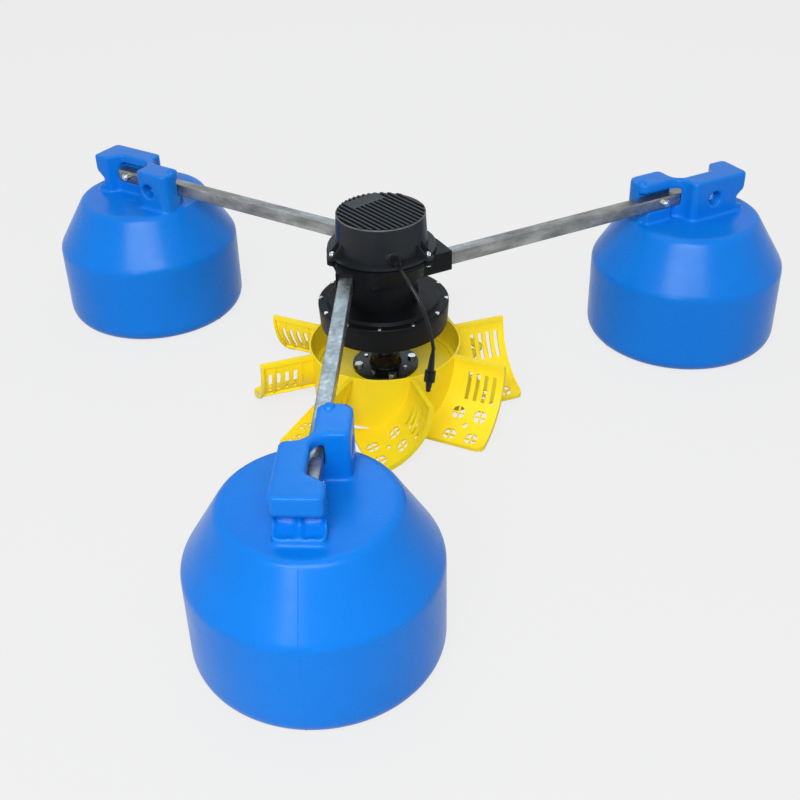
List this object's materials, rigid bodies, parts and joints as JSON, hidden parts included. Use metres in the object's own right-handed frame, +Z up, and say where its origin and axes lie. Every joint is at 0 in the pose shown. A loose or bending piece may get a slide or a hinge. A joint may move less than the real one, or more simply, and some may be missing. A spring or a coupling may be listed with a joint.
{
  "type": "surge aerator",
  "caption": "Pond surge aerator: an upright motor on square-tube arms over round floats, driving a wide impeller bowl ringed with perforated scoop blades.",
  "frame": {"origin": "middle of the footprint of the three floats, on the plane of their undersides", "axes": "+Z up along the motor axis direction, +X from the left float to the right float, -Y towards the single front float"},
  "size_m": [1.867, 1.679, 0.488],
  "materials": {
    "float_plastic": "smooth blow-moulded",
    "galvanised_tube": "hot-dip galvanised",
    "bright_steel": "bright",
    "core_steel": "bare",
    "magnet_grey": "plated",
    "cast_black": "black coated casting",
    "hub_black": "black coated",
    "part_plastic": "matt",
    "board_green": "lacquered",
    "coil_copper": "enamelled winding",
    "lead_red": "matt",
    "gasket_rubber": "matt",
    "cable_rubber": "matt",
    "impeller_yellow": "moulded"
  },
  "bodies": {
    "frame": {"float_front": "float_plastic", "float_right": "float_plastic", "float_left": "float_plastic", "arm_front": "galvanised_tube", "arm_right": "galvanised_tube", "arm_left": "galvanised_tube", "float_bolts": "bright_steel", "float_nuts": "bright_steel", "tripod_bracket": "cast_black", "socket_screws": "bright_steel", "neck_bolts": "bright_steel", "controller_cover": "cast_black", "cover_gasket": "gasket_rubber", "cover_bolts": "bright_steel", "cover_nuts": "bright_steel", "control_board": "board_green", "board_parts": "part_plastic", "board_standoffs": "bright_steel", "board_screws": "bright_steel", "gland_body": "part_plastic", "gland_nut": "part_plastic", "supply_cable": "cable_rubber", "connector_boot": "cable_rubber", "connector_collar": "part_plastic", "connector_nose": "part_plastic", "motor_lid": "cast_black", "motor_housing": "cast_black", "lid_gasket": "gasket_rubber", "lid_screws": "bright_steel", "stator_core": "core_steel", "stator_coils": "coil_copper", "motor_leads": "lead_red", "upper_outer_race": "bright_steel", "upper_balls": "bright_steel", "lower_outer_race": "bright_steel", "lower_balls": "bright_steel", "shaft_seal": "gasket_rubber"},
    "impeller": {"upper_inner_race": "bright_steel", "lower_inner_race": "bright_steel", "drive_shaft": "core_steel", "rotor_core": "core_steel", "rotor_magnets": "magnet_grey", "rotor_key": "bright_steel", "hub_plate": "hub_black", "hub_bolts": "bright_steel", "hub_nuts": "bright_steel", "hub_screws": "bright_steel", "shaft_washer": "bright_steel", "shaft_bolt": "bright_steel", "impeller_bowl": "impeller_yellow", "blade_1": "impeller_yellow", "blade_2": "impeller_yellow", "blade_3": "impeller_yellow", "blade_4": "impeller_yellow", "blade_5": "impeller_yellow", "blade_6": "impeller_yellow", "blade_7": "impeller_yellow", "blade_8": "impeller_yellow"}
  },
  "joints": [
    {"name": "impeller_spin", "type": "hinge", "parent": "frame", "child": "impeller", "pos_m": [0, 0.2025, 0.1], "axis": [0, 0, 1], "continuous": true}
  ]
}
